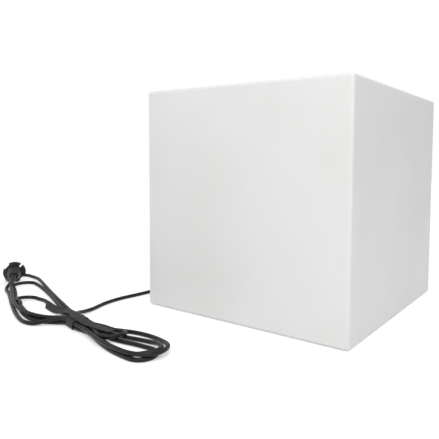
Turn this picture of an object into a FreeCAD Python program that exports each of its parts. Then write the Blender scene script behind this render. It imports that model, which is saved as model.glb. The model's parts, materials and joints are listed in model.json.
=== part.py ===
import FreeCAD, Part

import math
import os

from FreeCAD import Vector

# Cube light for gardens and porches: a hollow moulded cube that glows, standing over a base plate
# with a lamp in its holder, and a long rubber lead tied in a hank. Millimetres. The origin is on the
# ground under the middle of the cube, +Z is up, -Y is the front face, and the lead leaves at -X.

# ---- Cube moulding ----
cube_width = 400.0
cube_depth = 400.0
cube_height = 390.0  # from the ground to the top face
edge_radius = 5.0
shell_wall = 4.0
ground_gap = 1.0  # the moulding's underside stands this far off the ground

# ---- Recess in the underside, with the mouth that the lamp goes through ----
mouth_diameter = 172.0
recess_depth = 17.0
recess_margin = 10.0  # from the base plate's rim to the recess wall
channel_width = 16.0  # groove for the lead, open below
channel_height = 15.0

# ---- Feet ----
foot_diameter = 24.0
foot_thickness = 4.0
foot_inset = 32.0  # from a side face to the middle of a foot
foot_fit = 0.3  # radial, in its pocket

# ---- Joint between base plate and cube ----
gasket_thickness = 2.0
gasket_width = 6.0
gasket_setback = 1.0  # from the edge of the mouth
screw_count = 6
screw_first_angle = 30.0
screw_diameter = 4.0
screw_length = 16.0
screw_head_diameter = 8.0
screw_head_height = 2.6
screw_head_round = 0.8
screw_hole_clearance = 0.25  # radial, in a plain hole
screw_thread_clearance = 0.05  # radial, in the brass insert
hex_key_size = 2.5
hex_key_depth = 1.6
washer_diameter = 9.0
washer_thickness = 0.8
pad_diameter = 12.0  # raised pad round each screw, as high as the gasket
pad_gap = 1.0
plate_rim = 2.0  # outside the pads
boss_wall = 3.35
boss_end = 2.0  # over the end of the screw's hole
insert_diameter = 6.3
insert_length = 8.0
tip_space = 4.0  # drilled over the insert for the screw's tip
tip_drill = 5.0

# ---- Base plate ----
plate_thickness = 4.0
pot_diameter = 100.0
pot_wall = 3.0
pot_depth = 54.0  # from the plate's underside to the underside of the pot's roof
rib_thickness = 2.4
rib_height = 6.0
rib_count = 6  # the sixth is left out, where the lead runs
post_diameter = 16.0
post_circle = 142.0
post_count = 4
base_foot_thickness = 3.0

# ---- Lead ----
cord_diameter = 6.6
core_diameter = 2.2
core_spacing = 2.8
core_slack = 0.3  # radial, in its terminal
core_bends = (0.41, 0.89)  # shares of its rise where it bends
core_lean = 0.6  # sideways at the first bend
core_turn = 6.3  # from the second bend to the terminal
cord_rest_height = 3.35  # its middle, where it lies on the ground
clamp_cord_height = 8.3  # its middle under the plate

# ---- Cable gland in the roof of the pot ----
gland_thread = 16.0
gland_bore = 8.0
gland_hex = 22.0  # across flats
gland_hex_height = 6.0
gland_washer_diameter = 24.0
gland_washer_thickness = 2.0
gland_fit = 0.1  # radial
locknut_height = 5.0
thread_end = 1.0  # of the gland past its locknut
gland_collar_length = 9.0
seal_diameter = 12.0
seal_length = 12.0
seal_deep = 8.0  # inside the gland's collar
cap_nut_hex = 20.0
cap_nut_height = 15.5
cap_nut_flare = 7.75  # of its cone past the hexagon's corners
cap_nut_lip = 2.5
cap_nut_mouth = 8.0
cap_nut_gap = 0.5  # to the gland's hexagon
sheath_end = 2.0  # of the lead past the gland's thread

# ---- Clamp under the plate ----
clamp_x = -72.0
clamp_length = 12.0  # along the lead
clamp_width = 34.0
clamp_bottom = 3.0
clamp_fit = 0.3  # radial, round the lead
clamp_screw_spacing = 22.0
clamp_screw_diameter = 3.5
clamp_head_diameter = 7.0
clamp_head_height = 2.4
clamp_counterbore = 3.0
clamp_screw_length = 12.0
clamp_boss_diameter = 9.0
clamp_boss_height = 6.0

# ---- Lampholder ----
holder_diameter = 56.0
holder_wall = 3.0
holder_height = 33.0
holder_flange_diameter = 78.0
holder_flange_thickness = 3.0
holder_ledge_width = 2.0
holder_ledge_height = 2.0
holder_screw_circle = 67.0
holder_screw_diameter = 4.0
holder_screw_length = 12.0
holder_head_diameter = 7.0
holder_head_height = 2.4
holder_boss_diameter = 9.0
holder_boss_height = 10.0
insert_disc_height = 10.0
insert_disc_fit = 0.2
terminal_length = 8.0
terminal_width = 6.0
terminal_height = 8.0
terminal_offset = 17.0  # middle of a terminal from the middle of the holder
terminal_screw_diameter = 3.0
terminal_screw_head = 1.0
sleeve_bore = 27.2
sleeve_wall = 0.6
sleeve_height = 23.0
sleeve_flange = 1.8
skirt_diameter = 38.0
skirt_height = 25.0
skirt_shoulder = 6.0
skirt_foot = 2.0  # straight part of the skirt under its shoulder
skirt_fit = 0.3
contact_thickness = 0.8
contact_width = 6.0
contact_length = 20.0
contact_step = 10.0  # length of its raised middle at the foot of the slopes
contact_top = 5.0  # length of its flat top
contact_rise = 1.9
contact_gap = 0.1  # to the lamp's contact

# ---- Lamp ----
lamp_diameter = 60.0
lamp_length = 108.0
cap_diameter = 26.2
cap_root = 24.6  # over the roots of its thread
cap_bore = 23.6
cap_height = 21.0
cap_pitch = 3.62
cap_thread = [(0.15, cap_root), (0.45, cap_diameter), (0.60, cap_diameter), (0.90, cap_root)]
# (share of the pitch, diameter there)
cap_glass_height = 3.0
cap_glass_tip = 11.0  # diameter at the contact
lamp_contact_height = 1.6
lamp_contact_round = 0.8
lamp_contact_diameter = 9.6
neck_fit = 0.1
neck_length = 13.0  # of the housing inside the cap
neck_collar = 27.2  # diameter over the cap's rim
housing_height = 41.0  # over the cap
housing_wall = 2.0
housing_lip_height = 3.2
housing_rim = 59.0
housing_waist = 40.0  # diameter half way up
led_board_diameter = 54.6
led_board_thickness = 1.6
led_board_drop = 4.0  # under the housing's rim
led_ledge_width = 4.5
led_count = 12
led_circle = 36.0
led_size = 3.0
led_height = 0.8
diffuser_wall = 1.5
diffuser_collar_wall = 3.0
diffuser_collar_fit = 0.1
driver_width = 17.0
driver_thickness = 1.6
driver_length = 46.0

# ---- Plug with two round pins, and how it lies ----
flange_diameter = 44.0
flange_thickness = 7.0
flange_notch_width = 4.4
flange_notch_depth = 8.5
flange_side_width = 15.0
flange_side_depth = 3.6
plug_body_diameter = 32.0
plug_body_length = 22.0
plug_shoulder = 3.0  # of the body round the sleeve
plug_back_round = 2.4
relief_start = 13.0  # diameters of the tapered sleeve
relief_end = 8.6
relief_length = 46.0
relief_rib_count = 7
relief_rib_depth = 0.8
relief_rib_width = 2.0
relief_first_rib = 0.7  # share of a rib's pitch before the first one
relief_seat = 1.0  # inside the plug's body
pin_diameter = 4.8
pin_length = 19.0
pin_spacing = 19.0
pin_tip = 1.6
pin_root_diameter = 4.0
pin_root_length = 1.0  # bare root outside the face
pin_seat = 8.0  # inside the plug
plug_place = (-556.8, -254.0, 23.0)  # middle of the plug's face
plug_heading = 145.5  # degrees, where the pins point
plug_tilt = 9.2  # degrees, the pins' end up
plug_roll = -48.0

# ---- Route of the lead on the ground ----
# Points of its middle line, which starts at the gland's mouth. The stretch under the cube comes first.
lead_under_cube = [
    (0.0, 0.0, 29.9),
    (-7.2, 0.0, 17.5),
    (-23.2, 0.0, 8.5),
    (-56.0, 0.0, 8.2),
    (-98.0, 0.0, 8.4),
    (-150.0, -0.6, 5.4),
    (-196.0, 0.6, cord_rest_height),
]
lead_on_ground = [
    (-232.0, -7.0),
    (-251.0, -36.0),
    (-255.0, -79.0),
    (-252.0, -125.0),
    (-256.0, -171.0),
    (-264.0, -212.0),
    (-262.0, -250.0),
    (-252.0, -285.0),
    (-244.0, -315.0),
]
# The last stretch, from the plug down over the loops to the hank's waist.
tail_route = [
    (-460.0, -315.5, 10.3),
    (-426.0, -333.0, 10.1),
    (-393.0, -349.5, 10.2),
    (-362.0, -362.5, 10.1),
    (-332.0, -371.5, 10.2),
    (-301.0, -376.0, 10.1),
]

# ---- Hank: its outline seen from above ----
hank_loop_height = 6.7
hank_waist_height = 16.0
hank_outline = [
    (-600, -225), (-590, -206), (-562, -202), (-515, -215), (-440, -245), (-360, -277), (-290, -303),
    (-244, -312), (-205, -332), (-165, -337), (-125, -327), (-72, -315), (-20, -330), (6, -360),
    (-2, -388), (-36, -397), (-95, -386), (-155, -370), (-200, -368), (-238, -383), (-275, -397),
    (-330, -383), (-400, -354), (-470, -323), (-512, -303), (-552, -278), (-590, -250),
]
hank_left_gap = [
    (-400, -322), (-384, -309), (-345, -315), (-310, -327), (-300, -345), (-330, -354), (-362, -346),
    (-388, -337),
]
right_gap_middle = (-70.0, -369.5)
right_gap_length = 78.0
right_gap_width = 15.0
right_gap_heading = -3.0  # degrees
waist_outline = [
    (-298, -326), (-262, -322), (-228, -330), (-180, -340), (-140, -345), (-128, -355), (-150, -367),
    (-200, -366), (-240, -377), (-280, -386), (-306, -378), (-312, -352),
]

# ---- Hook-and-loop strap round the waist ----
strap_thickness = 1.4
strap_width = 26.0
strap_place = (-201.0, -351.5)
strap_heading = -14.0  # degrees, along the waist
strap_inside = 31.0  # across the bundle
strap_corner = 6.0
tail_width = 14.0
tail_length = 128.0
tail_heading = 168.0  # degrees, over the loops
tail_corner = 3.0

near = 0.01  # to pick an edge by its place

# ---- Heights that follow ----
ceiling_bottom = ground_gap + recess_depth
ceiling_top = ceiling_bottom + shell_wall
plate_top = ceiling_bottom - gasket_thickness
plate_bottom = plate_top - plate_thickness
roof_bottom = plate_bottom + pot_depth
roof_top = roof_bottom + pot_wall

# ---- Diameters that follow ----
gasket_inner = mouth_diameter + 2 * gasket_setback
gasket_outer = gasket_inner + 2 * gasket_width
screw_circle = gasket_outer + pad_diameter + 2 * pad_gap
plate_diameter = screw_circle + pad_diameter + 2 * plate_rim
recess_diameter = plate_diameter + 2 * recess_margin
boss_diameter = insert_diameter + 2 * boss_wall

# ---- Gland, from the roof of the pot down and up ----
hex_top = roof_bottom - gland_washer_thickness
hex_bottom = hex_top - gland_hex_height
collar_bottom = hex_bottom - gland_collar_length
cap_nut_top = hex_bottom - cap_nut_gap
gland_mouth = cap_nut_top - cap_nut_height
seal_top = collar_bottom + seal_deep
seal_bottom = seal_top - seal_length
thread_top = roof_top + locknut_height + thread_end
sheath_top = thread_top + sheath_end

# ---- Lampholder and lamp, from the roof of the pot up ----
holder_top = roof_top + holder_height
insert_bottom = holder_top - insert_disc_height
lamp_bottom = holder_top + contact_rise + contact_gap
cap_bottom = lamp_bottom + lamp_contact_height + cap_glass_height
cap_top = cap_bottom + cap_height
housing_top = cap_top + housing_height
led_board_bottom = housing_top - led_board_drop
led_board_top = led_board_bottom + led_board_thickness
lamp_top = lamp_bottom + lamp_length


def cylinder(diameter, bottom, top, x=0.0, y=0.0):
    return Part.makeCylinder(diameter / 2, top - bottom, Vector(x, y, bottom))


def ring(outer, inner, bottom, top, x=0.0, y=0.0):
    return cylinder(outer, bottom, top, x, y).cut(cylinder(inner, bottom, top, x, y))


def box(x_low, x_high, y_low, y_high, bottom, top):
    return Part.makeBox(x_high - x_low, y_high - y_low, top - bottom, Vector(x_low, y_low, bottom))


def hexagon(across_flats, bottom, top):
    """A hexagonal prism round the Z axis."""
    radius = across_flats / 2 / math.cos(math.pi / 6)
    corners = [
        Vector(radius * math.cos(k * math.pi / 3), radius * math.sin(k * math.pi / 3), bottom)
        for k in range(7)
    ]
    return Part.Face(Part.makePolygon(corners)).extrude(Vector(0, 0, top - bottom))


def revolved(profile):
    """The solid that a closed outline of (radius, height) points makes round the Z axis."""
    corners = [Vector(radius, 0, height) for radius, height in profile]
    face = Part.Face(Part.makePolygon(corners + corners[:1]))
    return face.revolve(Vector(0, 0, 0), Vector(0, 0, 1), 360)


def on_circle(diameter, count, first_angle):
    """The places (x, y) of count things spaced evenly on a circle."""
    angles = [math.radians(first_angle + 360 * k / count) for k in range(count)]
    return [(diameter / 2 * math.cos(a), diameter / 2 * math.sin(a)) for a in angles]


def group(solids):
    return Part.makeCompound(solids)


def smooth_face(points, height):
    """A flat face inside a smooth closed curve through the points, seen from above."""
    curve = Part.BSplineCurve()
    curve.interpolate(Points=[Vector(x, y, height) for x, y in points], PeriodicFlag=True)
    return Part.Face(Part.Wire(curve.toShape()))


def slab(points, bottom, top):
    return smooth_face(points, bottom).extrude(Vector(0, 0, top - bottom))


def bend_radius(before, corner, after):
    """(radius of the arc at a corner of a route, half of the angle that it turns)."""
    run_in = corner - before
    run_out = after - corner
    half_turn = run_in.getAngle(run_out) / 2
    return 0.45 * min(run_in.Length, run_out.Length) / math.tan(half_turn), half_turn


def route_wire(points, name):
    """Straight runs joined by tangent arcs. Prints the radii and the length."""
    edges = []
    radii = []
    start = points[0]
    for before, corner, after in zip(points, points[1:], points[2:]):
        radius, half_turn = bend_radius(before, corner, after)
        back = (before - corner).normalize()
        ahead = (after - corner).normalize()
        reach = radius * math.tan(half_turn)
        middle = (back + ahead).normalize() * (radius / math.cos(half_turn) - radius)
        edges.append(Part.LineSegment(start, corner + back * reach).toShape())
        arc = Part.Arc(corner + back * reach, corner + middle, corner + ahead * reach)
        edges.append(arc.toShape())
        radii.append(round(radius, 1))
        start = corner + ahead * reach
    edges.append(Part.LineSegment(start, points[-1]).toShape())
    wire = Part.Wire(edges)
    print(name, "radii", radii, "length", round(wire.Length, 1))
    return wire


def tube(points, diameter, name):
    """A round cord along a route of points."""
    wire = route_wire(points, name)
    first = points[1] - points[0]
    section = Part.Wire(Part.makeCircle(diameter / 2, points[0], first))
    solid = wire.makePipeShell([section], True, True)
    expected = math.pi * diameter ** 2 / 4 * wire.Length
    print(name, "volume", round(solid.Volume), "section times length", round(expected))
    return solid


def save(name, shape):
    shape.exportStep("parts/" + name + ".step")
    print(name, len(shape.Solids), "solids", shape.isValid())


def rounded_box(inset, radius):
    """The cube's outer form, made smaller by inset on every side."""
    form = box(
        inset - cube_width / 2,
        cube_width / 2 - inset,
        inset - cube_depth / 2,
        cube_depth / 2 - inset,
        ground_gap + inset,
        cube_height - inset,
    )
    return form.makeFillet(radius, form.Edges)


def foot_places():
    x = cube_width / 2 - foot_inset
    y = cube_depth / 2 - foot_inset
    return [(x, y), (-x, y), (-x, -y), (x, -y)]


def shell():
    """The moulded cube, hollow, with its recess, mouth, lead channel, bosses and foot pockets."""
    cavity = rounded_box(shell_wall, edge_radius - shell_wall)
    cavity = cavity.cut(cylinder(recess_diameter + 2 * shell_wall, 0, ceiling_top))
    channel_side = channel_width / 2 + shell_wall
    channel_top = ground_gap + channel_height
    cavity = cavity.cut(box(-cube_width, 0, -channel_side, channel_side, 0, channel_top + shell_wall))
    pocket_diameter = foot_diameter + 2 * foot_fit
    pocket_top = foot_thickness
    for x, y in foot_places():
        cavity = cavity.cut(cylinder(pocket_diameter + 2 * shell_wall, 0, pocket_top + shell_wall, x, y))
    insert_top = ceiling_bottom + insert_length
    boss_top = insert_top + tip_space + boss_end
    screw_places = on_circle(screw_circle, screw_count, screw_first_angle)
    for x, y in screw_places:
        cavity = cavity.cut(cylinder(boss_diameter, 0, boss_top, x, y))
    body = rounded_box(0, edge_radius).cut(cavity)
    body = body.cut(cylinder(recess_diameter, 0, ceiling_bottom))
    body = body.cut(cylinder(mouth_diameter, 0, ceiling_top))
    body = body.cut(box(-cube_width, 0, -channel_width / 2, channel_width / 2, 0, channel_top))
    for x, y in foot_places():
        body = body.cut(cylinder(pocket_diameter, 0, pocket_top, x, y))
    for x, y in screw_places:
        body = body.cut(cylinder(insert_diameter, ceiling_bottom, insert_top, x, y))
        body = body.cut(cylinder(tip_drill, insert_top, insert_top + tip_space, x, y))
    return body


def threaded_inserts():
    bore = screw_diameter + 2 * screw_thread_clearance
    top = ceiling_bottom + insert_length
    places = on_circle(screw_circle, screw_count, screw_first_angle)
    return group([ring(insert_diameter, bore, ceiling_bottom, top, x, y) for x, y in places])


def foot_pads():
    return group([cylinder(foot_diameter, 0, foot_thickness, x, y) for x, y in foot_places()])


def base_plate():
    """Flange with a raised pot in the middle, ribs, posts for its feet, and bosses for its screws."""
    pot_bore = pot_diameter - 2 * pot_wall
    plate = cylinder(plate_diameter, plate_bottom, plate_top)
    plate = plate.fuse(cylinder(pot_diameter, plate_bottom, roof_top))
    rib_bottom = plate_bottom - rib_height
    rib_reach = screw_circle / 2 - washer_diameter
    rib = box(pot_bore / 2, rib_reach, -rib_thickness / 2, rib_thickness / 2, rib_bottom, plate_bottom)
    for k in range(rib_count):
        if 2 * k != rib_count:
            plate = plate.fuse(rib.rotated(Vector(0, 0, 0), Vector(0, 0, 1), 360 * k / rib_count))
    for x, y in on_circle(post_circle, post_count, 180 / post_count):
        plate = plate.fuse(cylinder(post_diameter, base_foot_thickness, plate_bottom, x, y))
    screw_places = on_circle(screw_circle, screw_count, screw_first_angle)
    for x, y in screw_places:
        plate = plate.fuse(cylinder(pad_diameter, plate_top, ceiling_bottom, x, y))
    plate = plate.cut(cylinder(pot_bore, 0, roof_bottom))
    for x, y in holder_screw_places():
        boss_bottom = roof_bottom - holder_boss_height
        plate = plate.fuse(cylinder(holder_boss_diameter, boss_bottom, roof_bottom, x, y))
    clamp_boss_top = plate_top + clamp_boss_height
    for y in clamp_screw_rows():
        plate = plate.fuse(cylinder(clamp_boss_diameter, plate_top, clamp_boss_top, clamp_x, y))
    hole = screw_diameter + 2 * screw_hole_clearance
    for x, y in screw_places:
        plate = plate.cut(cylinder(hole, 0, ceiling_bottom, x, y))
    plate = plate.cut(cylinder(gland_thread + 2 * gland_fit, roof_bottom, roof_top))
    for x, y in holder_screw_places():
        plate = plate.cut(cylinder(holder_screw_diameter, holder_screw_tip(), roof_top, x, y))
    for y in clamp_screw_rows():
        plate = plate.cut(cylinder(clamp_screw_diameter, plate_bottom, clamp_screw_tip(), clamp_x, y))
    return plate


def base_feet():
    places = on_circle(post_circle, post_count, 180 / post_count)
    return group([cylinder(post_diameter, 0, base_foot_thickness, x, y) for x, y in places])


def base_gasket():
    return ring(gasket_outer, gasket_inner, plate_top, ceiling_bottom)


def rims_at(solid, height):
    """The edges of a solid that lie flat at a height."""
    return [e for e in solid.Edges if e.BoundBox.ZMin > height - near and e.BoundBox.ZMax < height + near]


def screw(diameter, length, head_diameter, head_height, seat, x, y, up=True):
    """A pan-head screw whose head's underside is at seat. Up: its shank points up."""
    head = cylinder(head_diameter, -head_height, 0)
    head = head.makeFillet(screw_head_round, rims_at(head, -head_height))
    key = hexagon(hex_key_size, -head_height, hex_key_depth - head_height)
    solid = cylinder(diameter, 0, length).fuse(head).cut(key)
    if not up:
        solid.rotate(Vector(0, 0, 0), Vector(1, 0, 0), 180)
    solid.translate(Vector(x, y, seat))
    return solid


def base_screws():
    seat = plate_bottom - washer_thickness
    places = on_circle(screw_circle, screw_count, screw_first_angle)
    size = (screw_diameter, screw_length, screw_head_diameter, screw_head_height)
    return group([screw(*size, seat, x, y) for x, y in places])


def screw_washers():
    bore = screw_diameter + 2 * screw_hole_clearance
    bottom = plate_bottom - washer_thickness
    places = on_circle(screw_circle, screw_count, screw_first_angle)
    return group([ring(washer_diameter, bore, bottom, plate_bottom, x, y) for x, y in places])


def gland_body():
    body = hexagon(gland_hex, hex_bottom, hex_top)
    body = body.fuse(cylinder(gland_thread, collar_bottom, thread_top))
    body = body.cut(cylinder(gland_bore, collar_bottom, thread_top))
    return body.cut(cylinder(seal_diameter + 2 * gland_fit, collar_bottom, seal_top))


def gland_washer():
    return ring(gland_washer_diameter, gland_thread + 2 * gland_fit, hex_top, roof_bottom)


def gland_locknut():
    nut = hexagon(gland_hex, roof_top, roof_top + locknut_height)
    return nut.cut(cylinder(gland_thread + 2 * gland_fit, roof_top, roof_top + locknut_height))


def gland_seal():
    return ring(seal_diameter, cord_diameter, seal_bottom, seal_top)


def gland_cap_nut():
    """The dome nut that squeezes the seal onto the lead."""
    nut = hexagon(cap_nut_hex, gland_mouth, cap_nut_top)
    corner = cap_nut_hex / 2 / math.cos(math.pi / 6)
    cone = Part.makeCone(
        cap_nut_mouth / 2 + cap_nut_lip,
        corner + cap_nut_flare,
        cap_nut_height,
        Vector(0, 0, gland_mouth),
    )
    nut = nut.common(cone)
    nut = nut.cut(cylinder(gland_thread + 2 * gland_fit, collar_bottom, cap_nut_top))
    lip_top = gland_mouth + cap_nut_lip
    nut = nut.cut(cylinder(seal_diameter + 2 * gland_fit, lip_top, collar_bottom))
    return nut.cut(cylinder(cap_nut_mouth, gland_mouth, lip_top))


def cord_inner():
    """The lead's stretch inside the gland, up to where its sheath is stripped."""
    return cylinder(cord_diameter, gland_mouth, sheath_top)


def terminal_middle():
    return insert_bottom - terminal_height / 2


def core(side):
    """One insulated core, from the stripped sheath into its terminal. Side is 1 or -1."""
    start = side * core_spacing / 2
    entry = side * (terminal_offset - terminal_length / 2)
    end = entry + side * terminal_length / 2
    level = terminal_middle()
    first, second = [sheath_top + share * (level - sheath_top) for share in core_bends]
    points = [
        Vector(start, 0, sheath_top),
        Vector(start + side * core_lean, 0, first),
        Vector(entry - side * core_turn, 0, second),
        Vector(entry, 0, level),
        Vector(end, 0, level),
    ]
    return tube(points, core_diameter, "core").cut(cord_inner())


def terminal(side):
    x_inner = terminal_offset - terminal_length / 2
    x_outer = terminal_offset + terminal_length / 2
    x_low, x_high = sorted([side * x_inner, side * x_outer])
    half = terminal_width / 2
    block = box(x_low, x_high, -half, half, insert_bottom - terminal_height, insert_bottom)
    hole = Part.makeCylinder(
        core_diameter / 2 + core_slack,
        terminal_length / 2 + core_slack,
        Vector(side * x_inner, 0, terminal_middle()),
        Vector(side, 0, 0),
    )
    screw_place = Vector(side * terminal_offset, half, terminal_middle())
    screw_radius = terminal_screw_diameter / 2
    screw_head = Part.makeCylinder(screw_radius, terminal_screw_head, screw_place, Vector(0, 1, 0))
    return block.cut(hole).fuse(screw_head)


def terminals():
    return group([terminal(1), terminal(-1)])


def clamp_screw_rows():
    return (-clamp_screw_spacing / 2, clamp_screw_spacing / 2)


def clamp_screw_seat():
    return clamp_bottom + clamp_counterbore


def clamp_screw_tip():
    return clamp_screw_seat() + clamp_screw_length


def cord_clamp():
    """The saddle that holds the lead up against the plate."""
    saddle = box(
        clamp_x - clamp_length / 2,
        clamp_x + clamp_length / 2,
        -clamp_width / 2,
        clamp_width / 2,
        clamp_bottom,
        plate_bottom,
    )
    groove = cord_diameter / 2 + clamp_fit
    along = Vector(1, 0, 0)
    start = Vector(clamp_x - clamp_length / 2, 0, clamp_cord_height)
    saddle = saddle.cut(Part.makeCylinder(groove, clamp_length, start, along))
    slot_start = clamp_x - clamp_length
    slot_end = clamp_x + clamp_length
    slot = box(slot_start, slot_end, -groove, groove, clamp_cord_height, plate_bottom)
    saddle = saddle.cut(slot)
    for y in clamp_screw_rows():
        head_hole = clamp_head_diameter + 2 * screw_hole_clearance
        shank_hole = clamp_screw_diameter + 2 * screw_hole_clearance
        saddle = saddle.cut(cylinder(head_hole, clamp_bottom, clamp_screw_seat(), clamp_x, y))
        saddle = saddle.cut(cylinder(shank_hole, clamp_bottom, plate_bottom, clamp_x, y))
    return saddle


def cord_clamp_screws():
    size = (clamp_screw_diameter, clamp_screw_length, clamp_head_diameter, clamp_head_height)
    return group([screw(*size, clamp_screw_seat(), clamp_x, y) for y in clamp_screw_rows()])


def holder_screw_places():
    return [(0, -holder_screw_circle / 2), (0, holder_screw_circle / 2)]


def holder_screw_tip():
    return roof_top + holder_flange_thickness - holder_screw_length


def lampholder_base():
    """The cup that covers the gland's locknut and the terminals."""
    bore = holder_diameter - 2 * holder_wall
    cup = cylinder(holder_diameter, roof_top, holder_top)
    cup = cup.fuse(cylinder(holder_flange_diameter, roof_top, roof_top + holder_flange_thickness))
    ledge_bottom = insert_bottom - holder_ledge_height
    cup = cup.cut(cylinder(bore, roof_top, ledge_bottom))
    cup = cup.cut(cylinder(bore - 2 * holder_ledge_width, ledge_bottom, insert_bottom))
    cup = cup.cut(cylinder(bore, insert_bottom, holder_top))
    for x, y in holder_screw_places():
        hole = holder_screw_diameter + 2 * screw_hole_clearance
        cup = cup.cut(cylinder(hole, roof_top, roof_top + holder_flange_thickness, x, y))
    return cup


def holder_screws():
    seat = roof_top + holder_flange_thickness
    size = (holder_screw_diameter, holder_screw_length, holder_head_diameter, holder_head_height)
    return group([screw(*size, seat, x, y, up=False) for x, y in holder_screw_places()])


def holder_insert():
    """The ceramic disc that carries the contacts and the terminals."""
    bore = holder_diameter - 2 * holder_wall
    return cylinder(bore - 2 * insert_disc_fit, insert_bottom, holder_top)


def screw_shell():
    """The brass sleeve that takes the lamp's cap."""
    outer = sleeve_bore + 2 * sleeve_wall
    sleeve = ring(outer, sleeve_bore, holder_top, holder_top + sleeve_height)
    foot = ring(outer + 2 * sleeve_flange, sleeve_bore, holder_top, holder_top + sleeve_wall)
    return sleeve.fuse(foot)


def centre_contact():
    """A bent bronze tongue on the ceramic disc, under the lamp's contact."""
    end = contact_length / 2
    knee = contact_step / 2
    crown = contact_top / 2
    top = holder_top + contact_rise
    hollow = top - contact_thickness
    flat = holder_top + contact_thickness
    underside = [(-end, holder_top), (-knee, holder_top), (-crown, hollow), (crown, hollow)]
    underside += [(knee, holder_top), (end, holder_top)]
    upside = [(end, flat), (knee, flat), (crown, top), (-crown, top), (-knee, flat), (-end, flat)]
    outline = underside + upside + underside[:1]
    corners = [Vector(x, -contact_width / 2, z) for x, z in outline]
    return Part.Face(Part.makePolygon(corners)).extrude(Vector(0, contact_width, 0))


def lampholder_skirt():
    """The tapered collar round the brass sleeve."""
    bore = sleeve_bore / 2 + sleeve_wall + skirt_fit
    wide_bore = bore + sleeve_flange
    foot_top = holder_top + sleeve_wall + skirt_fit
    return revolved([
        (wide_bore, holder_top),
        (holder_diameter / 2, holder_top),
        (holder_diameter / 2, holder_top + skirt_foot),
        (skirt_diameter / 2, holder_top + skirt_shoulder),
        (skirt_diameter / 2, holder_top + skirt_height - skirt_fit),
        (skirt_diameter / 2 - skirt_fit, holder_top + skirt_height),
        (bore, holder_top + skirt_height),
        (bore, foot_top),
        (wide_bore, foot_top),
    ])


def bulb_centre_contact():
    button = cylinder(lamp_contact_diameter, lamp_bottom, lamp_bottom + lamp_contact_height)
    return button.makeFillet(lamp_contact_round, rims_at(button, lamp_bottom))


def bulb_cap_insulator():
    """The glass cone between the lamp's contact and its cap."""
    bottom = lamp_bottom + lamp_contact_height
    return Part.makeCone(cap_glass_tip / 2, cap_bore / 2, cap_glass_height, Vector(0, 0, bottom))


def bulb_cap():
    """The screw cap, with a wavy outside in place of its thread."""
    profile = [(cap_bore / 2, cap_bottom), (cap_root / 2, cap_bottom)]
    for turn in range(int(cap_height // cap_pitch)):
        for share, diameter in cap_thread:
            profile.append((diameter / 2, cap_bottom + (turn + share) * cap_pitch))
    profile += [(cap_root / 2, cap_top), (cap_bore / 2, cap_top)]
    return revolved(profile)


def bulb_housing():
    """The lamp's plastic body, from its neck inside the cap to the rim under the diffuser."""
    neck = cap_bore / 2 - neck_fit
    rim = housing_rim / 2
    middle = (cap_top + housing_top) / 2
    board_seat = led_board_diameter / 2 + neck_fit
    ledge = board_seat - led_ledge_width
    return revolved([
        (neck - housing_wall, cap_top - neck_length),
        (neck, cap_top - neck_length),
        (neck, cap_top),
        (neck_collar / 2, cap_top),
        (neck_collar / 2 + housing_wall / 2, cap_top + housing_wall),
        (housing_waist / 2, middle),
        (rim, housing_top - housing_lip_height),
        (rim, housing_top),
        (board_seat, housing_top),
        (board_seat, led_board_bottom),
        (ledge, led_board_bottom),
        (ledge, led_board_bottom - housing_wall),
        (housing_waist / 2 - housing_wall, middle),
        (neck - housing_wall, cap_top),
    ])


def led_board():
    return cylinder(led_board_diameter, led_board_bottom, led_board_top)


def led_chips():
    half = led_size / 2
    top = led_board_top + led_height
    places = on_circle(led_circle, led_count, 0)
    return group([box(x - half, x + half, y - half, y + half, led_board_top, top) for x, y in places])


def bulb_diffuser():
    """The frosted dome, with a collar that stands on the board inside the housing's rim."""
    radius = lamp_diameter / 2
    middle = Vector(0, 0, lamp_top - radius)
    dome = Part.makeSphere(radius, middle)
    hollow = Part.makeSphere(radius - diffuser_wall, middle)
    below = box(-radius, radius, -radius, radius, lamp_bottom, housing_top)
    dome = dome.cut(hollow).cut(below)
    collar = led_board_diameter - 2 * diffuser_collar_fit
    collar_bore = collar - 2 * diffuser_collar_wall
    return dome.fuse(ring(collar, collar_bore, led_board_top, housing_top + diffuser_wall))


def bulb_driver_board():
    """The driver's circuit board, upright in the neck and against the board with the chips."""
    half_width = driver_width / 2
    half_thickness = driver_thickness / 2
    bottom = led_board_bottom - driver_length
    return box(-half_width, half_width, -half_thickness, half_thickness, bottom, led_board_bottom)


def lead_points():
    """From the gland's mouth down to the clamp, out under the cube and over the ground."""
    under = [Vector(*p) for p in lead_under_cube]
    ground = [Vector(x, y, cord_rest_height) for x, y in lead_on_ground]
    return [Vector(0, 0, gland_mouth), *under, *ground]


def cord_lead():
    return tube(lead_points(), cord_diameter, "cord_lead")


def strap_frame(solid):
    """Turns a solid that is made round the X axis to where the strap is."""
    solid.rotate(Vector(0, 0, 0), Vector(0, 0, 1), strap_heading)
    solid.translate(Vector(strap_place[0], strap_place[1], 0))
    return solid


def strap_sleeve(across, bottom, top, corner):
    half = across / 2
    block = box(-strap_width / 2, strap_width / 2, -half, half, bottom, top)
    return block.makeFillet(corner, [e for e in block.Edges if e.BoundBox.XLength > strap_width / 2])


def cord_strap():
    """A band round the waist, with its free end lying over the loops."""
    top = hank_waist_height + strap_thickness
    band = strap_sleeve(strap_inside + 2 * strap_thickness, 0, top, strap_corner)
    inside_corner = strap_corner - strap_thickness
    band = band.cut(strap_sleeve(strap_inside, strap_thickness, hank_waist_height, inside_corner))
    tail = box(0, tail_length, -tail_width / 2, tail_width / 2, hank_waist_height, top)
    end_edges = [e for e in tail.Edges if e.BoundBox.XMin > tail_length - near]
    tail = tail.makeFillet(tail_corner, [e for e in end_edges if e.BoundBox.ZLength > near])
    tail.rotate(Vector(0, 0, 0), Vector(0, 0, 1), tail_heading)
    tail.translate(Vector(strap_place[0], strap_place[1], 0))
    return strap_frame(band).fuse(tail)


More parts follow.
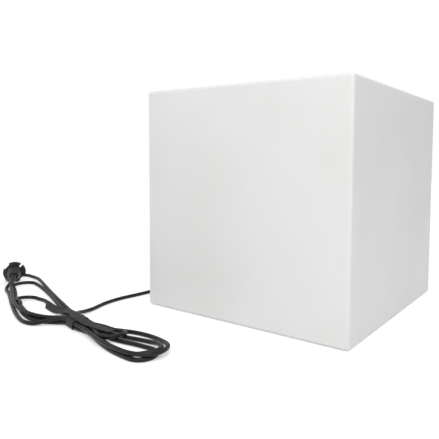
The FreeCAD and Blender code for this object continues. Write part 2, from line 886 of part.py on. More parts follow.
def cord_hank(neighbours):
    """The wound part of the lead: loops one cord high, and a higher bundle at the waist."""
    loops = slab(hank_outline, 0, hank_loop_height)
    loops = loops.cut(slab(hank_left_gap, 0, hank_loop_height))
    right_gap = Part.Ellipse(Vector(0, 0, 0), right_gap_length / 2, right_gap_width / 2).toShape()
    right_gap = Part.Face(Part.Wire(right_gap)).extrude(Vector(0, 0, hank_loop_height))
    right_gap.rotate(Vector(0, 0, 0), Vector(0, 0, 1), right_gap_heading)
    right_gap.translate(Vector(*right_gap_middle, 0))
    waist = slab(waist_outline, 0, hank_waist_height)
    hank = loops.cut(right_gap).fuse(waist)
    for neighbour in neighbours:
        hank = hank.cut(neighbour)
    return hank


def plug_frame(solid):
    """Moves a solid from the plug's own axes, pins along +X, to where the plug lies."""
    solid.rotate(Vector(0, 0, 0), Vector(1, 0, 0), plug_roll)
    solid.rotate(Vector(0, 0, 0), Vector(0, 1, 0), -plug_tilt)
    solid.rotate(Vector(0, 0, 0), Vector(0, 0, 1), plug_heading)
    solid.translate(Vector(*plug_place))
    return solid


def along_x(diameter, start, end, y=0.0):
    return Part.makeCylinder(diameter / 2, end - start, Vector(start, y, 0), Vector(1, 0, 0))


def plug_flange():
    """The round face plate, with two narrow grooves and two wide flats cut in its edge."""
    radius = flange_diameter / 2
    flange = along_x(flange_diameter, -flange_thickness, 0)
    half_notch = flange_notch_width / 2
    half_side = flange_side_width / 2
    for way in (1, -1):
        y_in, y_out = sorted([way * (radius - flange_notch_depth), way * flange_diameter])
        flange = flange.cut(box(-flange_thickness, 0, y_in, y_out, -half_notch, half_notch))
        z_in, z_out = sorted([way * (radius - flange_side_depth), way * flange_diameter])
        flange = flange.cut(box(-flange_thickness, 0, -half_side, half_side, z_in, z_out))
    return flange


def plug_body():
    """Flange, domed body and the ribbed sleeve that keeps the lead from kinking."""
    back = -flange_thickness - plug_body_length
    dome = Part.makeCone(
        relief_start / 2 + plug_shoulder,
        plug_body_diameter / 2,
        plug_body_length,
        Vector(back, 0, 0),
        Vector(1, 0, 0),
    )
    dome = dome.makeFillet(plug_back_round, [e for e in dome.Edges if e.BoundBox.XMax < back + near])
    end = back - relief_length
    sleeve = Part.makeCone(
        relief_end / 2,
        relief_start / 2,
        relief_length + relief_seat,
        Vector(end, 0, 0),
        Vector(1, 0, 0),
    )
    pitch = relief_length / (relief_rib_count + 1)
    for k in range(relief_rib_count):
        start = end + (k + relief_first_rib) * pitch
        radius_there = relief_end / 2 + (start - end) / relief_length * (relief_start - relief_end) / 2
        groove = along_x(relief_start, start, start + relief_rib_width)
        groove = groove.cut(along_x(2 * (radius_there - relief_rib_depth), start, start + relief_rib_width))
        sleeve = sleeve.cut(groove)
    body = plug_flange().fuse(dome).fuse(sleeve)
    for y in (-pin_spacing / 2, pin_spacing / 2):
        body = body.cut(along_x(pin_root_diameter, -pin_seat, 0, y))
    return plug_frame(body)


def plug_pins():
    pins = []
    for y in (-pin_spacing / 2, pin_spacing / 2):
        pin = along_x(pin_diameter, pin_root_length, pin_length, y)
        pin = pin.makeFillet(pin_tip, [e for e in pin.Edges if e.BoundBox.XMin > pin_length - near])
        pins.append(pin.fuse(along_x(pin_root_diameter, -pin_seat, pin_root_length, y)))
    return plug_frame(group(pins))


def plug_point(x):
    """The place on the plug's axis that is x from its face."""
    vertex = plug_frame(Part.Vertex(Vector(x, 0, 0)))
    return vertex.Point


def cord_tail(plug):
    """The lead's last stretch, from the plug's sleeve down over the loops to the waist."""
    end = -flange_thickness - plug_body_length - relief_length
    start = plug_point(end)
    tail = tube([start, *[Vector(*p) for p in tail_route]], cord_diameter, "cord_tail")
    return tail.cut(plug)


os.makedirs("parts", exist_ok=True)
save("shell", shell())
save("threaded_inserts", threaded_inserts())
save("foot_pads", foot_pads())
save("base_plate", base_plate())
save("base_feet", base_feet())
save("base_gasket", base_gasket())
save("base_screws", base_screws())
save("screw_washers", screw_washers())
save("cable_gland_body", gland_body())
save("gland_washer", gland_washer())
save("gland_locknut", gland_locknut())
save("gland_seal", gland_seal())
save("gland_cap_nut", gland_cap_nut())
save("cord_inner", cord_inner())
save("core_live", core(1))
save("core_neutral", core(-1))
save("cord_clamp", cord_clamp())
save("cord_clamp_screws", cord_clamp_screws())
save("lampholder_base", lampholder_base())
save("holder_screws", holder_screws())
save("holder_insert", holder_insert())
save("terminals", terminals())
save("screw_shell", screw_shell())
save("centre_contact", centre_contact())
save("lampholder_skirt", lampholder_skirt())
save("bulb_centre_contact", bulb_centre_contact())
save("bulb_cap_insulator", bulb_cap_insulator())
save("bulb_cap", bulb_cap())
save("bulb_housing", bulb_housing())
save("bulb_driver_board", bulb_driver_board())
save("led_board", led_board())
save("led_chips", led_chips())
save("bulb_diffuser", bulb_diffuser())
plug = plug_body()
lead = cord_lead()
tail = cord_tail(plug)
strap = cord_strap()
save("cord_lead", lead)
save("cord_tail", tail)
save("cord_strap", strap)
save("cord_hank", cord_hank([strap, lead, tail, plug]))
save("plug_body", plug)
save("plug_pins", plug_pins())
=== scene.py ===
import json
import math

import bmesh
import bpy

from mathutils import Matrix, Vector


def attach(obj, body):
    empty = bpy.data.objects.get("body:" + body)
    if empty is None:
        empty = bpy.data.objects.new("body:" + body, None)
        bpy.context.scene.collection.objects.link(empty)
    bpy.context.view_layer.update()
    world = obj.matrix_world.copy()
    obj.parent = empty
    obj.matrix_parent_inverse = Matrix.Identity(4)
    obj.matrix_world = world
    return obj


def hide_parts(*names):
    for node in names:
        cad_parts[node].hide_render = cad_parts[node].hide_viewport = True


# A cube light for gardens: the finishes of its pieces, the rubber lead with its hank, the strap
# round the hank, the floor, the sky, the lamp that lights it and the camera. Lengths are in metres,
# or in millimetres where a name or a comment says so.

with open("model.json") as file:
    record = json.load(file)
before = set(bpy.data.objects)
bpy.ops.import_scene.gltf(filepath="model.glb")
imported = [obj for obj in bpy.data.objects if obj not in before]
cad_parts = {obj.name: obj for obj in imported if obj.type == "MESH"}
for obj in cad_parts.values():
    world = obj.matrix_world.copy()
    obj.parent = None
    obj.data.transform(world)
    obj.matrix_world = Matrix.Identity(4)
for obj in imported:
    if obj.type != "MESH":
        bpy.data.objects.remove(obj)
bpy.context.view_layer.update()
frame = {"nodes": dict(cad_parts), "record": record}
nodes = frame["nodes"]

MM = 0.001

# ---- Lead: points of its middle line, from the gland to the hank and from the hank to the plug ----
CORD_DIAMETER = 6.6 * MM
GROUND = 3.35  # height of its middle where it lies on the ground, in millimetres
LEAD_POINTS_MM = [
    (0, 0, 42), (0, 0, 29.9), (-7.2, 0, 17.5), (-23.2, 0, 8.5), (-56, 0, 8.2), (-98, 0, 8.4),
    (-150, -0.6, 5.4), (-196, 0.6, GROUND), (-232, -7, GROUND), (-251, -36, GROUND),
    (-255, -79, GROUND), (-252, -125, GROUND), (-256, -171, GROUND), (-264, -212, GROUND),
    (-262, -250, GROUND),
]
TAIL_POINTS_MM = [
    (-301, -376, 10.1), (-332, -371.5, 10.2), (-362, -362.5, 10.1), (-393, -349.5, 10.2),
    (-426, -333, 10.1), (-460, -315.5, 10.3), (-495.8, -295.9, 11),
]

# ---- Hank, in millimetres: the waist where it is tied, and its two layers of strands there ----
LOW = 4.8
HIGH = 11.5
WAIST_MIDDLE_MM = (-201, -351.5)
WAIST_HEADING = math.radians(-14)
WAIST_HALF_MM = 18
ROW_1, ROW_2, ROW_3, ROW_4 = 10.4, 3.4, -3.6, -10.6  # across the waist, from the cube's side
RIGHT = 1
LEFT = -1

# ---- Strap: a ring round the waist and two loose ends ----
STRAP_NAMES = ("strap", "wide_end", "narrow_end")
STRAP_THICKNESS = 1.1 * MM
NARROW_END_THICKNESS = 1.0 * MM
STRAP_HALF_MM = 12.5
STRAP_CREASE = 0.8  # how far its edges stay sharp where the strip is smoothed
STRAP_RING_MM = [
    # across the waist, height, shift along the waist
    (0, 0.0, 0), (-11, 0.2, 1), (-14.6, 2.0, 2), (-15.0, 8.0, 3.5), (-14.4, 14.0, 4.5),
    (-10.5, 16.2, 5), (0, 16.4, 4), (10.5, 16.2, 2), (14.4, 14.0, 1), (15.0, 8.0, 0),
    (14.6, 2.0, 0), (11, 0.2, 0),
]
WIDE_END_MM = [  # over the right loops: near edge, far edge
    ((-212, -359.5, 17.6), (-209, -346, 17.6)),
    ((-198, -363.0, 17.7), (-196, -349.5, 17.7)),
    ((-184, -365.5, 17.0), (-183, -352, 17.3)),
    ((-169, -366.4, 14.6), (-168, -352.9, 15.4)),
    ((-153, -366.4, 13.9), (-152, -352.9, 14.2)),
    ((-138, -366.2, 13.7), (-137, -352.7, 13.8)),
    ((-122, -366.0, 13.7), (-121, -352.6, 13.7)),
    ((-108, -365.6, 13.6), (-107.5, -353.2, 13.6)),
]
NARROW_END_MM = [  # on edge beside the left loops: near edge, far edge
    ((-330, -325.5, 0.5), (-336, -318.5, 11.5)),
    ((-312, -330.5, 0.6), (-318, -323.5, 12)),
    ((-294, -335.0, 1.2), (-299, -328, 12.8)),
    ((-276, -339.0, 3.4), (-279, -331.5, 14.2)),
    ((-258, -344.0, 9.0), (-256, -333, 16.0)),
    ((-240, -349.0, 15.0), (-237, -336.5, 17.2)),
    ((-222, -353.5, 17.6), (-219, -341, 18.0)),
    ((-208, -356.5, 17.8), (-205, -343, 18.0)),
]

# ---- Plug ----
PLUG_EDGE = 0.6 * MM
JOIN_DISTANCE = 0.01 * MM
EDGE_ANGLE = math.radians(40)  # faces that meet at a smaller angle are one smooth surface

# ---- Finishes ----
NOISE_MIDDLE = (0.3, 0.7)  # nearly all of a noise's values lie between these
DULL_PATCHES = 2.3  # patches of duller surface for each patch of another tone
FINISHES = [
    # slot, colour, share by which it varies, patches a metre, roughness from and to,
    # grains a metre, depth of the grain in millimetres, metallic
    ("brass", (0.62, 0.42, 0.16), 0.12, 320, (0.22, 0.42), 2400, 0.02, 1.0),
    ("rubber_feet", (0.022, 0.022, 0.023), 0.25, 180, (0.6, 0.85), 1600, 0.06, 0.0),
    ("base_plastic", (0.56, 0.56, 0.545), 0.05, 90, (0.45, 0.62), 2600, 0.04, 0.0),
    ("gasket", (0.05, 0.05, 0.052), 0.2, 240, (0.55, 0.75), 1900, 0.05, 0.0),
    ("stainless", (0.56, 0.56, 0.57), 0.08, 500, (0.2, 0.38), 3800, 0.015, 1.0),
    ("gland_plastic", (0.035, 0.035, 0.037), 0.15, 150, (0.4, 0.55), 2800, 0.03, 0.0),
    ("core_brown", (0.16, 0.062, 0.025), 0.1, 300, (0.3, 0.45), 2500, 0.01, 0.0),
    ("core_blue", (0.03, 0.11, 0.42), 0.1, 300, (0.3, 0.45), 2500, 0.01, 0.0),
    ("holder_plastic", (0.028, 0.027, 0.026), 0.15, 160, (0.18, 0.32), 2200, 0.015, 0.0),
    ("porcelain", (0.78, 0.76, 0.71), 0.04, 220, (0.12, 0.24), 700, 0.03, 0.0),
    ("contact_brass", (0.66, 0.45, 0.2), 0.12, 420, (0.25, 0.45), 3000, 0.015, 1.0),
    ("lamp_solder", (0.6, 0.6, 0.6), 0.1, 900, (0.3, 0.5), 1500, 0.06, 1.0),
    ("lamp_glass", (0.012, 0.012, 0.014), 0.2, 400, (0.08, 0.16), 1200, 0.01, 0.0),
    ("lamp_cap", (0.66, 0.65, 0.62), 0.07, 520, (0.22, 0.4), 3600, 0.015, 1.0),
    ("lamp_housing", (0.78, 0.78, 0.77), 0.03, 120, (0.32, 0.44), 1500, 0.02, 0.0),
    ("circuit_board", (0.02, 0.14, 0.06), 0.2, 600, (0.3, 0.5), 2400, 0.03, 0.0),
    ("lamp_board", (0.74, 0.75, 0.74), 0.04, 350, (0.3, 0.45), 2400, 0.015, 0.0),
    ("led_phosphor", (0.80, 0.62, 0.09), 0.1, 900, (0.25, 0.4), 3000, 0.02, 0.0),
    ("lamp_diffuser", (0.84, 0.84, 0.83), 0.02, 80, (0.4, 0.5), 900, 0.01, 0.0),
    ("plug_rubber", (0.012, 0.012, 0.0125), 0.3, 140, (0.26, 0.4), 1500, 0.04, 0.0),
    ("pin_metal", (0.60, 0.59, 0.56), 0.08, 600, (0.16, 0.3), 3500, 0.012, 1.0),
]

# ---- Floor, sky, lamp, camera ----
FLOOR_SIZE = 12.0
FLOOR_COLOUR = (0.86, 0.86, 0.86)
FLOOR_GLOW = (0.9, 3.0, 0.4, 0.5)  # from this distance to that one in metres, glow here and there
SKY_LIGHT = (0.76, 0.57)  # from the left, from the right
KEY_PLACE = (0.6, -0.98, 1.2)
KEY_TARGET = (0, 0, 0.2)
KEY_SIZE = 0.7
KEY_POWER = 8.4
CAMERA_PLACE = (0.4762725, -0.8281903, 0.2709219)
CAMERA_YAW = -0.5916  # radians, as the next two
CAMERA_PITCH = -0.063
CAMERA_ROLL = 0.0098
CAMERA_LENS_MM = 40.4
SENSOR_MM = 36.0
CAMERA_SHIFT = (-0.1009, -0.0672)


def add_object(name, data):
    """A new object in the scene."""
    piece = bpy.data.objects.new(name, data)
    bpy.context.scene.collection.objects.link(piece)
    return piece


def paint(piece, material):
    """Gives a piece this material alone."""
    piece.data.materials.clear()
    piece.data.materials.append(material)


# ---- Route of the lead, in millimetres ----
def waist(along, across, height):
    """A place at the waist, from the waist's middle."""
    cosine, sine = math.cos(WAIST_HEADING), math.sin(WAIST_HEADING)
    x, y = WAIST_MIDDLE_MM
    return (x + along * cosine - across * sine, y + along * sine + across * cosine, height)


def waist_run(row, height, way):
    """The lead's stretch through the waist in one row, to the right or to the left."""
    return [waist(-way * WAIST_HALF_MM, row, height), waist(way * WAIST_HALF_MM, row, height)]


def turn(middle, radius, start, end, count, heights):
    """Points round the end of a loop: angles in degrees, heights at its start and end.

    They lie a little outside the radius, since the curve runs inside its points.
    """
    low, high = heights
    reach = radius / math.cos(math.radians(abs(end - start) / count / 2))
    points = []
    for k in range(count + 1):
        share = k / count
        angle = math.radians(start + (end - start) * share)
        points.append((
            middle[0] + reach * math.cos(angle),
            middle[1] + reach * math.sin(angle),
            low + (high - low) * share,
        ))
    return points


def at(height, *places):
    """Points (x, y) that all lie at one height."""
    return [(x, y, height) for x, y in places]


def first_right_loop():
    """The largest right loop, whose near side lies on the third one's."""
    points = [(-166, -346, 8.5), (-142, -338, 3.95)]
    points += at(GROUND, (-118, -328.5), (-99, -322.5), (-77, -320), (-53, -321))
    points += [(-33, -328, 5.5), (-15, -337, 8.6)]
    points += at(10.1, (-3, -348), (2, -362), (-1, -376), (-11, -387), (-27, -393))
    points += at(9.7, (-46, -393.3), (-74, -390.5), (-107, -385))
    points += [(-138, -374.6, 9.4), (-164, -366.8, 10)]
    return points


def first_left_loop():
    """The largest left loop, all round the other two."""
    points = [(-240, -369.5, 9.5), (-251, -382, 6)]
    points += at(
        GROUND,
        (-261, -389.5), (-273, -393), (-289, -392.5), (-309, -387), (-336, -377), (-363, -365.5),
        (-405, -346.5), (-440, -329), (-470, -315.5), (-494, -307), (-511, -297), (-527, -284),
        (-549, -267),
    )
    points += turn((-572.8, -236), 24, -100, -292, 7, (GROUND, GROUND))
    points += at(
        GROUND,
        (-534, -215), (-506, -225), (-452, -247), (-404, -266), (-362, -282), (-327, -295),
        (-289, -309), (-258, -320), (-238, -328.5),
    )
    return points


def second_right_loop():
    """Inside the first one, and over the end of the third one."""
    points = at(GROUND, (-160, -348.5), (-123, -347.5), (-96, -345), (-72, -340), (-51, -336.5))
    points += [(-33, -339.6, 6.4), (-20.1, -345.3, 8.4), (-11.3, -351.6, 9.6)]
    points += at(10.1, (-6.3, -361.2), (-6.6, -372), (-12.4, -381))
    points += [(-21.9, -386.3, 8.4), (-32.6, -387.6, 6), (-46, -387.3, 3.9)]
    points += at(GROUND, (-74, -383.4), (-107, -374), (-140, -362), (-160, -357.5))
    return points


def second_left_loop():
    """Inside the first one."""
    points = at(
        GROUND,
        (-236, -357.5), (-252, -364.5), (-268, -371), (-288, -372), (-313, -366.5), (-337, -360),
        (-361, -351.5), (-403, -338), (-437, -320), (-470, -302),
    )
    points += turn((-502, -264), 20.8, -108, -287, 6, (GROUND, GROUND))
    points += at(
        GROUND,
        (-466, -251), (-424, -265), (-381, -281), (-345, -295.5), (-316, -307), (-284, -319),
        (-256, -330),
    )
    return points


def third_right_loop():
    """On the ground, under the ends of the first two."""
    points = [(-162, -354.5, 4.2)]
    points += at(GROUND, (-136, -359), (-112, -361), (-88, -359.5), (-64, -355.5), (-46, -354))
    points += turn((-27, -374), 20.3, 86, -94, 6, (GROUND, GROUND))
    points += at(GROUND, (-46, -393.5), (-74, -390.2), (-107, -380.8), (-140, -368.5))
    points += [(-160, -364, 4)]
    return points


def third_left_loop():
    """The shortest left loop, which climbs over the second one's near side."""
    points = at(GROUND, (-236, -365), (-252, -372.5), (-268, -379), (-286, -379.5))
    points += at(GROUND, (-306, -375.5), (-332, -368))
    points += [(-348, -361, 6.2), (-364, -352, 9.9), (-376, -346, 10.2)]
    points += turn((-386, -325), 20, -100, -280, 6, (9.5, GROUND))
    points += at(GROUND, (-370, -303.5), (-340, -310.5), (-305, -320.5), (-276, -330))
    points += [(-246, -339, 8)]
    return points


def last_right_loop():
    """Short: out between the far sides of the first two, and back on top of the others."""
    points = [(-163, -349, 11), (-145, -342.9, 9), (-133, -338.8, 6), (-121.3, -334.8, 4.6)]
    points += [(-110.7, -333.9, 4.8), (-101.1, -338.3, 6.8), (-94.7, -346.9, 9.2)]
    points += at(10.2, (-93.4, -357.4), (-97.2, -367.3), (-105.4, -374), (-115.9, -375.9))
    points += [(-125.9, -372.6, 10.2), (-138, -366.4, 10.2), (-150, -361.4, 10.4), (-164, -359, 11)]
    return points


def hank_points():
    """The wound part, loop by loop: right loops lie towards +X, left loops towards -X."""
    points = [(-250, -284, GROUND), (-245, -306, 5), (-240, -319.5, 8), (-232.5, -330.5, 11)]
    points += waist_run(ROW_1, HIGH, RIGHT)
    points += first_right_loop()
    points += waist_run(ROW_4, HIGH, LEFT)
    points += first_left_loop()
    points += waist_run(ROW_1, LOW, RIGHT)
    points += second_right_loop()
    points += waist_run(ROW_3, LOW, LEFT)
    points += second_left_loop()
    points += waist_run(ROW_2, LOW, RIGHT)
    points += third_right_loop()
    points += waist_run(ROW_4, LOW, LEFT)
    points += third_left_loop()
    points += waist_run(ROW_2, HIGH, RIGHT)
    points += last_right_loop()
    points += waist_run(ROW_3, HIGH, LEFT)
    points += [(-236, -361, 10.8), (-252, -368.5, 9.9), (-274, -374.5, 9.9)]
    return points


# ---- Parts of a finish ----
def new_material(name):
    """A material with nothing but a Principled shader: (material, its tree, its shader)."""
    material = bpy.data.materials.new(name)
    material.use_nodes = True
    tree = material.node_tree
    return material, tree, tree.nodes["Principled BSDF"]


def noise(tree, scale, detail=2.0):
    """A noise that is fixed to the piece; scale is per metre."""
    place = tree.nodes.new("ShaderNodeTexCoord")
    texture = tree.nodes.new("ShaderNodeTexNoise")
    texture.inputs["Scale"].default_value = scale
    texture.inputs["Detail"].default_value = detail
    tree.links.new(place.outputs["Object"], texture.inputs["Vector"])
    return texture.outputs["Fac"]


def map_range(tree, source, start, end, low, high):
    """Numbers that go from low to high while the source goes from start to end."""
    node = tree.nodes.new("ShaderNodeMapRange")
    for socket, value in (("From Min", start), ("From Max", end), ("To Min", low), ("To Max", high)):
        node.inputs[socket].default_value = value
    tree.links.new(source, node.inputs["Value"])
    return node.outputs["Result"]


def spread(tree, source, low, high):
    """Numbers low to high over the middle of a noise."""
    return map_range(tree, source, *NOISE_MIDDLE, low, high)


def ramp(tree, source, low, high):
    """Colours low to high over the middle of a noise."""
    node = tree.nodes.new("ShaderNodeValToRGB")
    for element, position, colour in zip(node.color_ramp.elements, NOISE_MIDDLE, (low, high)):
        element.position = position
        element.color = (*colour, 1)
    tree.links.new(source, node.inputs["Fac"])
    return node.outputs["Color"]


def bump(tree, source, depth, normal=None):
    """A relief of this depth, on top of another one."""
    node = tree.nodes.new("ShaderNodeBump")
    node.inputs["Strength"].default_value = 1.0
    node.inputs["Distance"].default_value = depth
    tree.links.new(source, node.inputs["Height"])
    if normal:
        tree.links.new(normal, node.inputs["Normal"])
    return node.outputs["Normal"]


def shade(colour, share):
    """The colour, darker or lighter."""
    return tuple(channel * share for channel in colour)


# ---- Finishes ----
def plain_finish(slot, colour, vary, patches, roughness, grains, depth_mm, metallic):
    """A row of FINISHES: tone and roughness in patches, and a fine grain."""
    material, tree, shader = new_material(slot)
    tone = ramp(tree, noise(tree, patches), shade(colour, 1 - vary), shade(colour, 1 + vary))
    dull = spread(tree, noise(tree, patches * DULL_PATCHES), *roughness)
    grain = bump(tree, noise(tree, grains), depth_mm * MM)
    tree.links.new(tone, shader.inputs["Base Color"])
    tree.links.new(dull, shader.inputs["Roughness"])
    tree.links.new(grain, shader.inputs["Normal"])
    shader.inputs["Metallic"].default_value = metallic
    return material


def moulded_plastic():
    """Milky polyethylene: faint clouds, a soft sheen, slow waves and a fine orange peel."""
    material, tree, shader = new_material("moulded_cube")
    tone = ramp(tree, noise(tree, 5.0, 3.0), (0.80, 0.80, 0.79), (0.845, 0.845, 0.84))
    dull = spread(tree, noise(tree, 14.0, 3.0), 0.42, 0.52)
    waves = bump(tree, noise(tree, 7.0, 1.0), 1.6 * MM)
    peel = bump(tree, noise(tree, 420.0), 0.025 * MM, waves)
    tree.links.new(tone, shader.inputs["Base Color"])
    tree.links.new(dull, shader.inputs["Roughness"])
    tree.links.new(peel, shader.inputs["Normal"])
    shader.inputs["Subsurface Weight"].default_value = 0.25
    shader.inputs["Subsurface Radius"].default_value = (1.0, 0.98, 0.94)
    shader.inputs["Subsurface Scale"].default_value = 6 * MM
    shader.inputs["IOR"].default_value = 1.5
    shader.inputs["Specular IOR Level"].default_value = 0.4
    return material


def sheath_rubber():
    """The lead's black rubber: faint dust, a dull gloss and a fine grain."""
    material, tree, shader = new_material("cord_rubber")
    tone = ramp(tree, noise(tree, 60.0, 4.0), (0.006, 0.006, 0.0064), (0.016, 0.0152, 0.0156))
    dull = spread(tree, noise(tree, 130.0, 3.0), 0.34, 0.5)
    grain = bump(tree, noise(tree, 1400.0), 0.05 * MM)
    tree.links.new(tone, shader.inputs["Base Color"])
    tree.links.new(dull, shader.inputs["Roughness"])
    tree.links.new(grain, shader.inputs["Normal"])
    shader.inputs["Specular IOR Level"].default_value = 0.3
    return material


def strap_weave():
    """Loop fabric: brown-black pile with short fibres over a coarse weave."""
    material, tree, shader = new_material("strap_fabric")
    tone = ramp(tree, noise(tree, 900.0, 3.0), (0.012, 0.009, 0.0095), (0.034, 0.025, 0.0265))
    dull = spread(tree, noise(tree, 300.0), 0.75, 0.95)
    place = tree.nodes.new("ShaderNodeTexCoord")
    weave = tree.nodes.new("ShaderNodeTexVoronoi")
    weave.inputs["Scale"].default_value = 1300.0
    tree.links.new(place.outputs["Object"], weave.inputs["Vector"])
    coarse = bump(tree, weave.outputs["Distance"], 0.25 * MM)
    fibres = bump(tree, noise(tree, 2600.0, 3.0), 0.12 * MM, coarse)
    tree.links.new(tone, shader.inputs["Base Color"])
    tree.links.new(dull, shader.inputs["Roughness"])
    tree.links.new(fibres, shader.inputs["Normal"])
    shader.inputs["Sheen Weight"].default_value = 0.08
    shader.inputs["Sheen Roughness"].default_value = 0.5
    return material


def frost(material):
    """Lets light through the lamp's diffuser."""
    shader = material.node_tree.nodes["Principled BSDF"]
    shader.inputs["Subsurface Weight"].default_value = 0.4
    shader.inputs["Subsurface Radius"].default_value = (1.0, 1.0, 1.0)
    shader.inputs["Subsurface Scale"].default_value = 3 * MM


def make_finishes():
    """Every finish by its slot."""
    finishes = {row[0]: plain_finish(*row) for row in FINISHES}
    finishes["moulded_cube"] = moulded_plastic()
    finishes["cord_rubber"] = sheath_rubber()
    finishes["strap_fabric"] = strap_weave()
    frost(finishes["lamp_diffuser"])
    return finishes


# ---- Plug, lead and strap ----
def round_edges(piece, radius):
    """Moulded edges: the joined mesh is rounded where its faces meet at a clear angle."""
    weld = piece.modifiers.new("join", "WELD")
    weld.merge_threshold = JOIN_DISTANCE
    bevel = piece.modifiers.new("edges", "BEVEL")
    bevel.width = radius
    bevel.segments = 3
    bevel.limit_method = "ANGLE"
    bevel.angle_limit = EDGE_ANGLE
    bevel.harden_normals = True


def make_cord():
    """The whole lead as one smooth curve, from the gland to the plug."""
    points = LEAD_POINTS_MM + hank_points() + TAIL_POINTS_MM
    curve = bpy.data.curves.new("lead", "CURVE")
    curve.dimensions = "3D"
    spline = curve.splines.new("NURBS")
    spline.points.add(len(points) - 1)
    for point, place in zip(spline.points, points):
        point.co = (*(value * MM for value in place), 1)
    spline.order_u = 3
    spline.use_endpoint_u = True
    spline.resolution_u = 6
    curve.bevel_depth = CORD_DIAMETER / 2
    curve.bevel_resolution = 5
    curve.use_fill_caps = True
    return add_object("lead", curve)


def ribbon(name, edges_mm, thickness, closed=False):
    """A soft strip through pairs of places on its near edge and its far edge.

    Its thickness lies on the side from which the far edge is to the left on the way along it.
    """
    rows = [tuple(Vector(place) * MM for place in pair) for pair in edges_mm]
    count = len(rows)
    mesh = bmesh.new()
    sections = []
    for k, (near, far) in enumerate(rows):
        before = rows[k - 1] if closed or k else rows[k]
        after = rows[(k + 1) % count] if closed or k < count - 1 else rows[k]
        along = (after[0] + after[1]) - (before[0] + before[1])
        up = along.cross(far - near).normalized() * thickness
        sections.append([mesh.verts.new(place) for place in (near, far, far + up, near + up)])
    crease = mesh.edges.layers.float.new("crease_edge")
    for k in range(count if closed else count - 1):
        section = sections[k]
        following = sections[(k + 1) % count]
        for j in range(4):
            mesh.faces.new((section[j], section[j - 1], following[j - 1], following[j]))
            mesh.edges.get((section[j], following[j]))[crease] = STRAP_CREASE
    if not closed:
        for section in (sections[0], sections[-1][::-1]):
            for edge in mesh.faces.new(section).edges:
                edge[crease] = STRAP_CREASE
    bmesh.ops.recalc_face_normals(mesh, faces=mesh.faces)
    data = bpy.data.meshes.new(name)
    mesh.to_mesh(data)
    mesh.free()
    for face in data.polygons:
        face.use_smooth = True
    piece = add_object(name, data)
    smooth = piece.modifiers.new("soft", "SUBSURF")
    smooth.levels = smooth.render_levels = 3
    return piece


def make_strap():
    """The strap's three pieces, in the order of their names."""
    ring_name, wide_name, narrow_name = STRAP_NAMES
    ring = [
        (waist(shift - STRAP_HALF_MM, across, height), waist(shift + STRAP_HALF_MM, across, height))
        for across, height, shift in STRAP_RING_MM
    ]
    return [
        ribbon(ring_name, ring, STRAP_THICKNESS, closed=True),
        ribbon(wide_name, WIDE_END_MM, STRAP_THICKNESS),
        ribbon(narrow_name, NARROW_END_MM, NARROW_END_THICKNESS),
    ]


# ---- Floor, sky, lamp, camera ----
def floor_finish():
    """White floor that takes shadows, with a glow of its own where the camera or gloss sees it."""
    material = bpy.data.materials.new("floor")
    material.use_nodes = True
    tree = material.node_tree
    tree.nodes.clear()
    diffuse = tree.nodes.new("ShaderNodeBsdfDiffuse")
    diffuse.inputs["Color"].default_value = (*FLOOR_COLOUR, 1)
    place = tree.nodes.new("ShaderNodeTexCoord")
    far = tree.nodes.new("ShaderNodeVectorMath")
    far.operation = "LENGTH"
    tree.links.new(place.outputs["Object"], far.inputs[0])
    glow = tree.nodes.new("ShaderNodeEmission")
    tree.links.new(map_range(tree, far.outputs["Value"], *FLOOR_GLOW), glow.inputs["Strength"])
    both = tree.nodes.new("ShaderNodeAddShader")
    tree.links.new(diffuse.outputs[0], both.inputs[0])
    tree.links.new(glow.outputs[0], both.inputs[1])
    rays = tree.nodes.new("ShaderNodeLightPath")
    seen = tree.nodes.new("ShaderNodeMath")
    seen.operation = "MAXIMUM"
    tree.links.new(rays.outputs["Is Camera Ray"], seen.inputs[0])
    tree.links.new(rays.outputs["Is Glossy Ray"], seen.inputs[1])
    mix = tree.nodes.new("ShaderNodeMixShader")
    tree.links.new(seen.outputs[0], mix.inputs["Fac"])
    tree.links.new(diffuse.outputs[0], mix.inputs[1])
    tree.links.new(both.outputs[0], mix.inputs[2])
    output = tree.nodes.new("ShaderNodeOutputMaterial")
    tree.links.new(mix.outputs[0], output.inputs["Surface"])
    return material


def make_floor():
    """A square of floor under the light."""
    half = FLOOR_SIZE / 2
    corners = [(-half, -half, 0), (half, -half, 0), (half, half, 0), (-half, half, 0)]
    mesh = bpy.data.meshes.new("floor")
    mesh.from_pydata(corners, [], [(0, 1, 2, 3)])
    floor = add_object("floor", mesh)
    paint(floor, floor_finish())


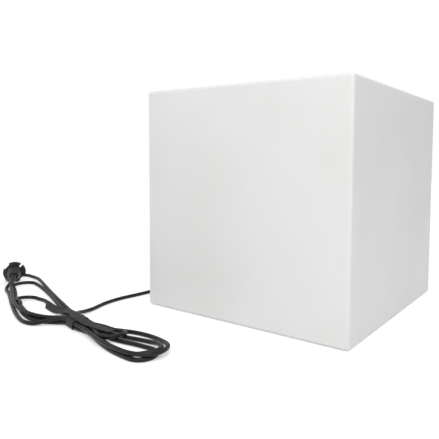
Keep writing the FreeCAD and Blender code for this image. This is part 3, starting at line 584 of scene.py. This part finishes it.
def make_sky():
    """A soft grey sky for light, brighter on the left, and white where the camera sees it."""
    world = bpy.data.worlds.new("studio")
    bpy.context.scene.world = world
    world.use_nodes = True
    tree = world.node_tree
    tree.nodes.clear()
    way = tree.nodes.new("ShaderNodeTexCoord")
    split = tree.nodes.new("ShaderNodeSeparateXYZ")
    tree.links.new(way.outputs["Generated"], split.inputs[0])
    light = tree.nodes.new("ShaderNodeBackground")
    tree.links.new(map_range(tree, split.outputs["X"], -1, 1, *SKY_LIGHT), light.inputs["Strength"])
    white = tree.nodes.new("ShaderNodeBackground")
    white.inputs["Strength"].default_value = 1.0
    for node in (light, white):
        node.inputs["Color"].default_value = (1, 1, 1, 1)
    rays = tree.nodes.new("ShaderNodeLightPath")
    mix = tree.nodes.new("ShaderNodeMixShader")
    tree.links.new(rays.outputs["Is Camera Ray"], mix.inputs["Fac"])
    tree.links.new(light.outputs[0], mix.inputs[1])
    tree.links.new(white.outputs[0], mix.inputs[2])
    output = tree.nodes.new("ShaderNodeOutputWorld")
    tree.links.new(mix.outputs[0], output.inputs["Surface"])


def make_lamp():
    """A square lamp in front of the cube on the right, turned to its target."""
    light = bpy.data.lights.new("key", "AREA")
    light.shape = "SQUARE"
    light.size = KEY_SIZE
    light.energy = KEY_POWER
    lamp = add_object("key", light)
    lamp.location = KEY_PLACE
    ahead = Vector(KEY_TARGET) - Vector(KEY_PLACE)
    lamp.rotation_euler = ahead.to_track_quat("-Z", "Y").to_euler()


def make_camera():
    """The photograph's view: a heading, a pitch and a small roll."""
    ahead = Vector((
        math.sin(CAMERA_YAW) * math.cos(CAMERA_PITCH),
        math.cos(CAMERA_YAW) * math.cos(CAMERA_PITCH),
        math.sin(CAMERA_PITCH),
    ))
    level = ahead.cross(Vector((0, 0, 1))).normalized()
    upright = level.cross(ahead)
    cosine, sine = math.cos(CAMERA_ROLL), math.sin(CAMERA_ROLL)
    right = level * cosine + upright * sine
    up = upright * cosine - level * sine
    data = bpy.data.cameras.new("camera")
    data.lens = CAMERA_LENS_MM
    data.sensor_width = SENSOR_MM
    data.shift_x, data.shift_y = CAMERA_SHIFT
    camera = add_object("camera", data)
    matrix = Matrix((right, up, -ahead)).transposed().to_4x4()
    matrix.translation = CAMERA_PLACE
    camera.matrix_world = matrix
    bpy.context.scene.camera = camera


bpy.context.scene.view_settings.view_transform = "Standard"
make_camera()
make_sky()
make_floor()
make_lamp()

finishes = make_finishes()
for subpart in frame["record"]["subparts"]:
    paint(nodes[subpart["node"]], finishes[subpart["material_slot"]])
round_edges(nodes["plug_body"], PLUG_EDGE)

strap_parts = make_strap()
for part in strap_parts:
    paint(part, finishes["strap_fabric"])
    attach(part, "base")
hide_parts("cord_strap")

cord = make_cord()
paint(cord, finishes["cord_rubber"])
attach(cord, "base")
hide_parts("cord_lead", "cord_hank", "cord_tail")
